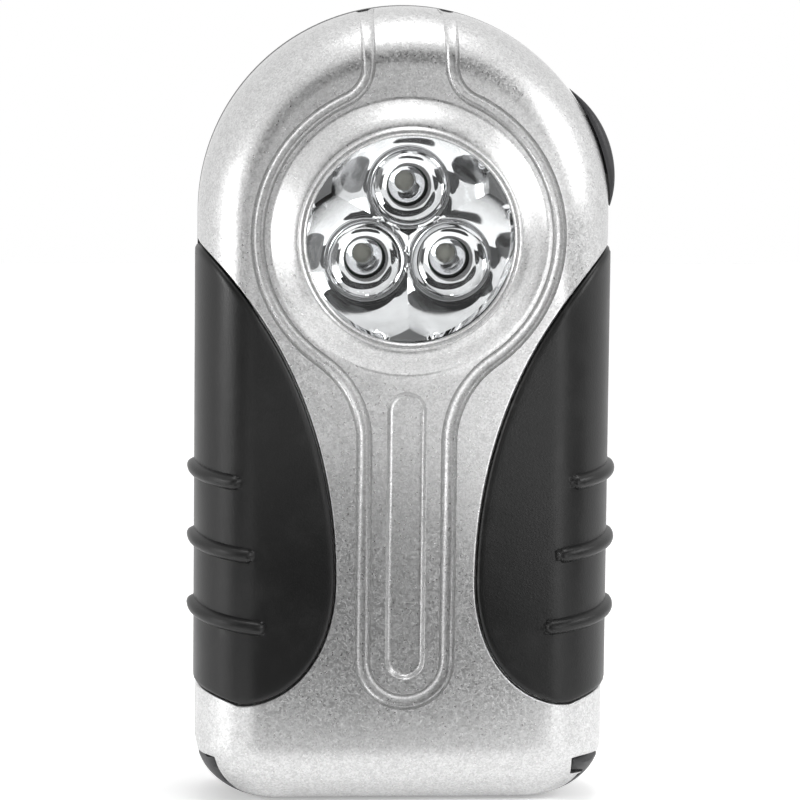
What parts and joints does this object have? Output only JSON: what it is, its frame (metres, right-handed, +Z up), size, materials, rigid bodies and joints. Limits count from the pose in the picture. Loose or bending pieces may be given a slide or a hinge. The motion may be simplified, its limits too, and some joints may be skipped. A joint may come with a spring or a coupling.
{
  "type": "pocket torch",
  "caption": "Flat pocket LED torch with a round lens, rubber side grips, a thumb slider on its edge and a battery door on its back.",
  "frame": {"origin": "middle of the flat base, just ahead of the seam between the shells", "axes": "+X to the right as seen from the front, +Y from the lens towards the battery door, +Z up towards the round head"},
  "size_m": [0.0592, 0.0261, 0.11],
  "materials": {
    "silver_paint": "fine metallic silver paint with sparkle grain",
    "charcoal_plastic": "fine matt charcoal",
    "black_rubber": "soft-touch black rubber",
    "clear_lens": "clear polished lens",
    "chrome": "mirror metallised moulding",
    "led_epoxy": "clear epoxy",
    "board_green": "solder mask",
    "resistor_tan": "lacquer",
    "screw_steel": "zinc plated",
    "switch_black": "moulded",
    "cell_jacket": "plain printed sleeve",
    "nickel": "nickel plated spring steel",
    "tray_plastic": "moulded",
    "wire_red": "PVC insulation",
    "wire_black": "PVC insulation"
  },
  "bodies": {
    "torch": {"front_shell": "silver_paint", "rear_shell": "charcoal_plastic", "left_grip": "black_rubber", "right_grip": "black_rubber", "lens": "clear_lens", "lens_gasket": "black_rubber", "reflector": "chrome", "led_1": "led_epoxy", "led_2": "led_epoxy", "led_3": "led_epoxy", "led_board": "board_green", "resistor": "resistor_tan", "board_screw_1": "screw_steel", "board_screw_2": "screw_steel", "case_screw_1": "screw_steel", "case_screw_2": "screw_steel", "case_screw_3": "screw_steel", "case_screw_4": "screw_steel", "switch_body": "switch_black", "battery_tray": "tray_plastic", "cell_1": "cell_jacket", "cell_2": "cell_jacket", "cell_3": "cell_jacket", "contact_spring_1": "nickel", "contact_spring_2": "nickel", "contact_spring_3": "nickel", "bottom_bridge": "nickel", "bottom_terminal": "nickel", "top_terminal": "nickel", "top_bridge": "nickel", "wire_positive": "wire_red", "wire_negative": "wire_black"},
    "door": {"battery_door": "charcoal_plastic"},
    "slider": {"switch_knob": "charcoal_plastic", "switch_shoe": "charcoal_plastic"}
  },
  "joints": [
    {"name": "door_tilt", "type": "hinge", "parent": "torch", "child": "door", "pos_m": [0, 0.0099, 0.0101], "axis": [-1, 0, 0], "range_deg": [0, 60]},
    {"name": "slider_travel", "type": "hinge", "parent": "torch", "child": "slider", "pos_m": [0, 0.001, 0.0818], "axis": [0, -1, 0], "range_deg": [0, 6.8]}
  ]
}
